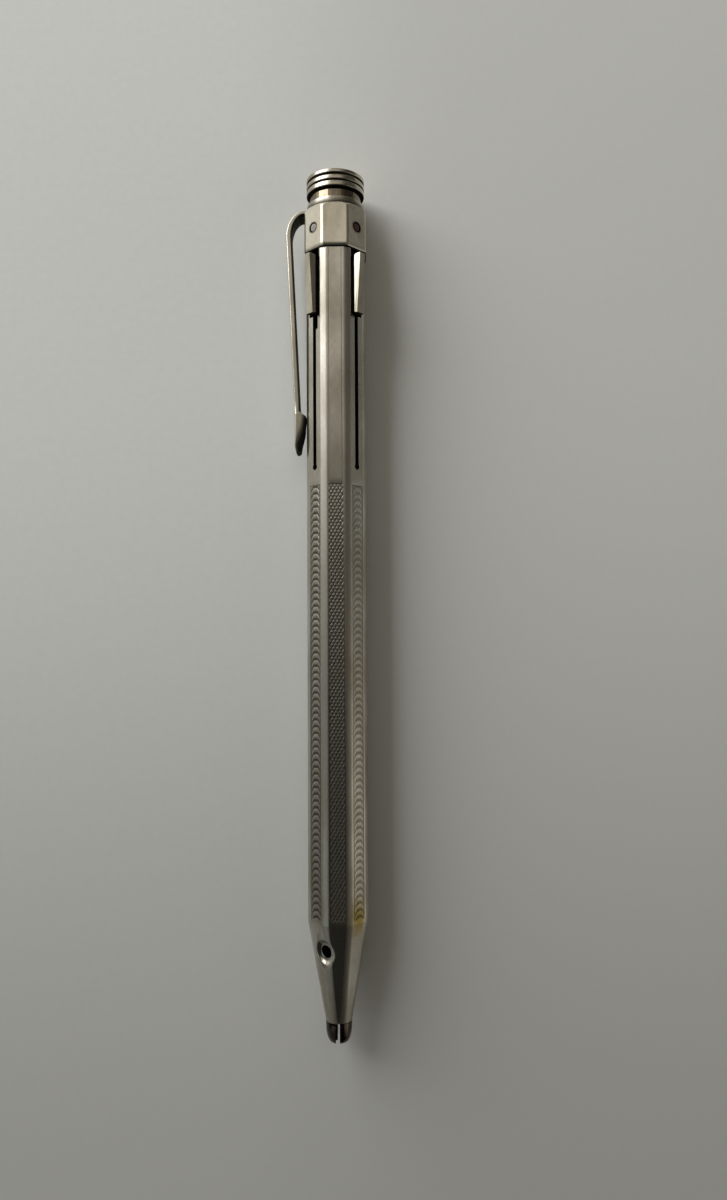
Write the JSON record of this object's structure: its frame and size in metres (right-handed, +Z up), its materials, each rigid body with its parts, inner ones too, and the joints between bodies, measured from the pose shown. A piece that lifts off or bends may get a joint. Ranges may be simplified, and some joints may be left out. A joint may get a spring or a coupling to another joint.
{
  "type": "multicolour clutch pencil",
  "caption": "Slim eight-sided silver pencil with thumb sliders that feed coloured leads to clutch jaws at a tapered tip, a ribbed push cap and a spring pocket clip.",
  "frame": {"origin": "on the barrel's back face, under the axis, halfway between the tip and the top of the cap", "axes": "+Y along the pencil from the tip to the push cap, +Z up through the front face, +X to the right, away from the clip"},
  "size_m": [0.0118, 0.1254, 0.009],
  "materials": {
    "silver": "polished silver, worn and lightly tarnished",
    "brass": "turned brass",
    "dark_steel": "darkened steel",
    "spring_steel": "spring wire",
    "lead_graphite": "graphite lead",
    "lead_red": "red wax lead",
    "lead_blue": "blue wax lead",
    "lead_green": "green wax lead",
    "dot_grey": "worn pale enamel",
    "dot_red": "dark red enamel",
    "dot_blue": "dark blue enamel",
    "dot_green": "dark green enamel"
  },
  "bodies": {
    "pencil": {"barrel": "silver", "collar": "silver", "top_ring": "silver", "return_spring": "spring_steel", "colour_dot_1": "dot_grey", "colour_dot_2": "dot_red", "colour_dot_3": "dot_blue", "colour_dot_4": "dot_green"},
    "clip_arm": {"clip": "silver"},
    "plunger": {"push_cap": "silver", "plunger_sleeve": "silver", "lead_funnel": "brass", "lead_guide": "brass"},
    "left_jaw": {"jaw_left": "dark_steel"},
    "right_jaw": {"jaw_right": "dark_steel"},
    "lead_slide_1": {"slider_1": "silver", "lead_holder_1": "brass", "lead_1": "lead_graphite"},
    "lead_slide_2": {"slider_2": "silver", "lead_holder_2": "brass", "lead_2": "lead_red"},
    "lead_slide_3": {"slider_3": "silver", "lead_holder_3": "brass", "lead_3": "lead_blue"},
    "lead_slide_4": {"slider_4": "silver", "lead_holder_4": "brass", "lead_4": "lead_green"}
  },
  "joints": [
    {"name": "cap_press", "type": "slide", "parent": "pencil", "child": "plunger", "axis": [0, -1, 0], "range_m": [0, 0.0012], "stiffness_N_per_m": 2000, "springref_m": -0.001, "deforming": ["return_spring"]},
    {"name": "jaw_left_open", "type": "hinge", "parent": "plunger", "child": "left_jaw", "pos_m": [0, -0.05097, 0.00428], "axis": [0, 0, -1], "range_deg": [0, 1.3]},
    {"name": "jaw_right_open", "type": "hinge", "parent": "plunger", "child": "right_jaw", "pos_m": [0, -0.05097, 0.00428], "axis": [0, 0, 1], "range_deg": [0, 1.3]},
    {"name": "clip_flex", "type": "hinge", "parent": "pencil", "child": "clip_arm", "pos_m": [-0.00436, 0.05732, 0.00428], "axis": [0, 0, -1], "range_deg": [0, 3], "stiffness_Nm_per_rad": 1.7},
    {"name": "lead_1_slide", "type": "slide", "parent": "pencil", "child": "lead_slide_1", "axis": [0, -1, 0], "range_m": [0, 0.0225]},
    {"name": "lead_2_slide", "type": "slide", "parent": "pencil", "child": "lead_slide_2", "axis": [0, -1, 0], "range_m": [0, 0.0225]},
    {"name": "lead_3_slide", "type": "slide", "parent": "pencil", "child": "lead_slide_3", "axis": [0, -1, 0], "range_m": [0, 0.0225]},
    {"name": "lead_4_slide", "type": "slide", "parent": "pencil", "child": "lead_slide_4", "axis": [0, -1, 0], "range_m": [0, 0.0225]}
  ],
  "couplings": [
    {"joint": "jaw_left_open", "follows": "cap_press", "rad_per_m": 18},
    {"joint": "jaw_right_open", "follows": "cap_press", "rad_per_m": 18}
  ]
}
